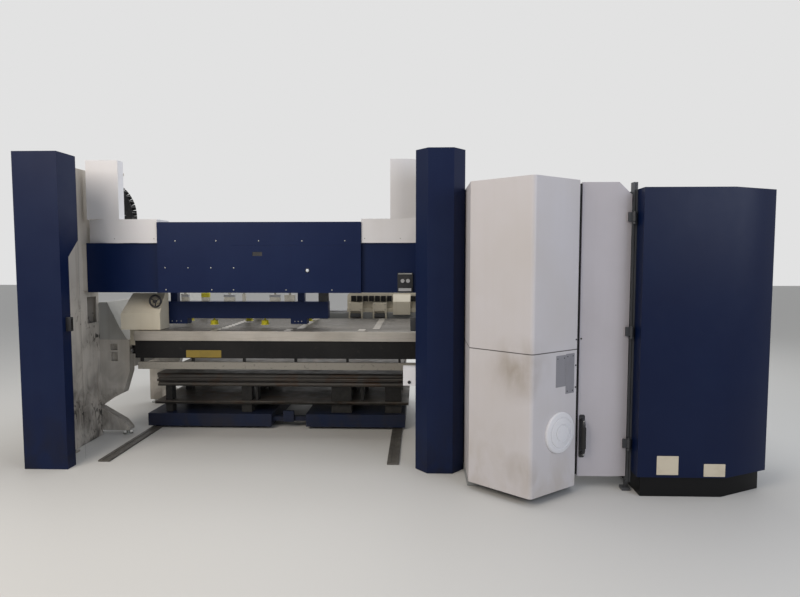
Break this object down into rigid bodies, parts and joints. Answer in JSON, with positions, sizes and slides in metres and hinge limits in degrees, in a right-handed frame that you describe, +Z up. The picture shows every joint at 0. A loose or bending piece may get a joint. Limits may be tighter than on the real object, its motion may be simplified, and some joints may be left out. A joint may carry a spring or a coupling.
{
  "type": "cnc punch press",
  "caption": "CNC punch press: C-shaped press frame in a pointed housing, moving table with clamps, and a suction portal over a sheet cart",
  "frame": {"origin": "on the floor, at the middle of the outline seen from above", "axes": "X along the front (right seen by the operator), Y back from the operator, Z up"},
  "size_m": [5.29, 3.8, 2.365],
  "materials": {
    "blue_paint": "dark blue powder coat",
    "white_paint": "light grey-white powder coat, scuffed",
    "cream_paint": "cream powder coat",
    "grey_paint": "mid grey paint",
    "black_paint": "black paint, worn",
    "machined_steel": "machined",
    "aluminium_plate": "milled plate",
    "black_plastic": "matte moulded",
    "grey_plastic": "moulded",
    "yellow_rubber": "soft moulded"
  },
  "bodies": {
    "machine": {"c_frame": "grey_paint", "head_block": "grey_paint", "die_block": "grey_paint", "die_table": "cream_paint", "tool_motors": "black_paint", "portal_frame": "white_paint", "left_tower_cover": "blue_paint", "right_tower_cover": "blue_paint", "beam_centre_cover": "blue_paint", "beam_side_covers": "blue_paint", "corner_covers": "white_paint", "upper_covers": "white_paint", "energy_chain": "black_plastic", "lift_guides": "black_paint", "button_panel": "black_plastic", "key_box": "white_paint", "left_rail_frame": "white_paint", "right_rail_frame": "white_paint", "linear_rails": "machined_steel", "levelling_feet": "machined_steel", "left_end_cover": "cream_paint", "rail_cover": "grey_paint", "prow_upper_cover": "white_paint", "prow_lower_cover": "white_paint", "arm_cover": "white_paint", "disc_cover": "white_paint", "hinge_post": "grey_paint", "control_cabinet": "blue_paint", "floor_rails": "grey_paint"},
    "table": {"left_table_top": "aluminium_plate", "right_table_top": "aluminium_plate", "left_table_frame": "black_paint", "right_table_frame": "black_paint", "table_brushes": "black_plastic", "coordinate_beam": "grey_paint", "guide_rails": "machined_steel"},
    "carriage": {"carriage": "cream_paint", "tool_cassettes": "black_paint", "clamp_bodies": "cream_paint"},
    "left_jaw": {"left_clamp_jaw": "black_paint"},
    "right_jaw": {"right_clamp_jaw": "black_paint"},
    "suction": {"suction_frame": "blue_paint", "suction_fittings": "grey_paint"},
    "cups": {"suction_cups": "yellow_rubber"},
    "sleeve": {"punch_sleeve": "machined_steel"},
    "ram": {"ram": "machined_steel"},
    "die": {"die_holder": "machined_steel"},
    "upper_pinion": {"upper_pinion": "machined_steel"},
    "lower_pinion": {"lower_pinion": "machined_steel"},
    "cart": {"cart_frame": "blue_paint", "spacer_blocks": "black_paint", "sheet_stack": "machined_steel"},
    "front_wheels": {"front_wheels": "machined_steel"},
    "rear_wheels": {"rear_wheels": "machined_steel"},
    "door": {"service_door": "white_paint", "door_handle": "black_plastic"},
    "upper_button": {"upper_button": "grey_plastic"},
    "lower_button": {"lower_button": "grey_plastic"},
    "key": {"key_lock": "black_plastic"},
    "hand_wheel": {"hand_wheel": "black_plastic"}
  },
  "joints": [
    {"name": "table_slide", "type": "slide", "parent": "machine", "child": "table", "axis": [0, 1, 0], "range_m": [0, 1.15]},
    {"name": "carriage_slide", "type": "slide", "parent": "table", "child": "carriage", "axis": [1, 0, 0], "range_m": [-1.47, 0.6]},
    {"name": "left_clamp", "type": "hinge", "parent": "carriage", "child": "left_jaw", "pos_m": [-0.339, 0.5, 0.982], "axis": [-1, 0, 0], "range_deg": [0, 12]},
    {"name": "right_clamp", "type": "hinge", "parent": "carriage", "child": "right_jaw", "pos_m": [-0.09, 0.5, 0.982], "axis": [-1, 0, 0], "range_deg": [0, 12]},
    {"name": "suction_lift", "type": "slide", "parent": "machine", "child": "suction", "axis": [0, 0, 1], "range_m": [-0.022, 0.2], "deforming": ["energy_chain"]},
    {"name": "cup_press", "type": "slide", "parent": "suction", "child": "cups", "axis": [0, 0, 1], "range_m": [0, 0.015], "stiffness_N_per_m": 2000, "springref_m": -0.01},
    {"name": "tool_spin", "type": "hinge", "parent": "machine", "child": "sleeve", "pos_m": [1, 0.38, 1.3], "axis": [0, 0, 1], "continuous": true},
    {"name": "ram_stroke", "type": "slide", "parent": "sleeve", "child": "ram", "axis": [0, 0, 1], "range_m": [-0.038, 0]},
    {"name": "die_spin", "type": "hinge", "parent": "machine", "child": "die", "pos_m": [1, 0.38, 0.75], "axis": [0, 0, 1], "continuous": true},
    {"name": "upper_pinion_spin", "type": "hinge", "parent": "machine", "child": "upper_pinion", "pos_m": [1.16, 0.38, 1.17], "axis": [0, 0, 1], "continuous": true},
    {"name": "lower_pinion_spin", "type": "hinge", "parent": "machine", "child": "lower_pinion", "pos_m": [1.16, 0.38, 0.63], "axis": [0, 0, 1], "continuous": true},
    {"name": "cart_slide", "type": "slide", "parent": "machine", "child": "cart", "axis": [0, 1, 0], "range_m": [-0.9, 0]},
    {"name": "front_wheel_roll", "type": "hinge", "parent": "cart", "child": "front_wheels", "pos_m": [-1, -0.15, 0.0483], "axis": [1, 0, 0], "range_deg": [0, 1300]},
    {"name": "rear_wheel_roll", "type": "hinge", "parent": "cart", "child": "rear_wheels", "pos_m": [-1, 0.75, 0.0483], "axis": [1, 0, 0], "range_deg": [0, 1300]},
    {"name": "door_swing", "type": "hinge", "parent": "machine", "child": "door", "pos_m": [1.71, -1.632, 1], "axis": [0, 0, 1], "range_deg": [0, 90]},
    {"name": "upper_button_press", "type": "slide", "parent": "machine", "child": "upper_button", "axis": [0, 1, 0], "range_m": [0, 0.004], "stiffness_N_per_m": 600, "springref_m": -0.002},
    {"name": "lower_button_press", "type": "slide", "parent": "machine", "child": "lower_button", "axis": [0, 1, 0], "range_m": [0, 0.004], "stiffness_N_per_m": 600, "springref_m": -0.002},
    {"name": "key_turn", "type": "hinge", "parent": "machine", "child": "key", "pos_m": [0.242, -1.25, 0.65], "axis": [0, 1, 0], "range_deg": [0, 90]},
    {"name": "hand_wheel_turn", "type": "hinge", "parent": "machine", "child": "hand_wheel", "pos_m": [-1.93, -0.58, 1.2], "axis": [0, 1, 0], "continuous": true}
  ],
  "couplings": [
    {"joint": "right_clamp", "follows": "left_clamp", "ratio": 1},
    {"joint": "die_spin", "follows": "tool_spin", "ratio": 1},
    {"joint": "upper_pinion_spin", "follows": "tool_spin", "ratio": -3},
    {"joint": "lower_pinion_spin", "follows": "tool_spin", "ratio": -3},
    {"joint": "front_wheel_roll", "follows": "cart_slide", "rad_per_m": -25},
    {"joint": "rear_wheel_roll", "follows": "cart_slide", "rad_per_m": -25}
  ]
}
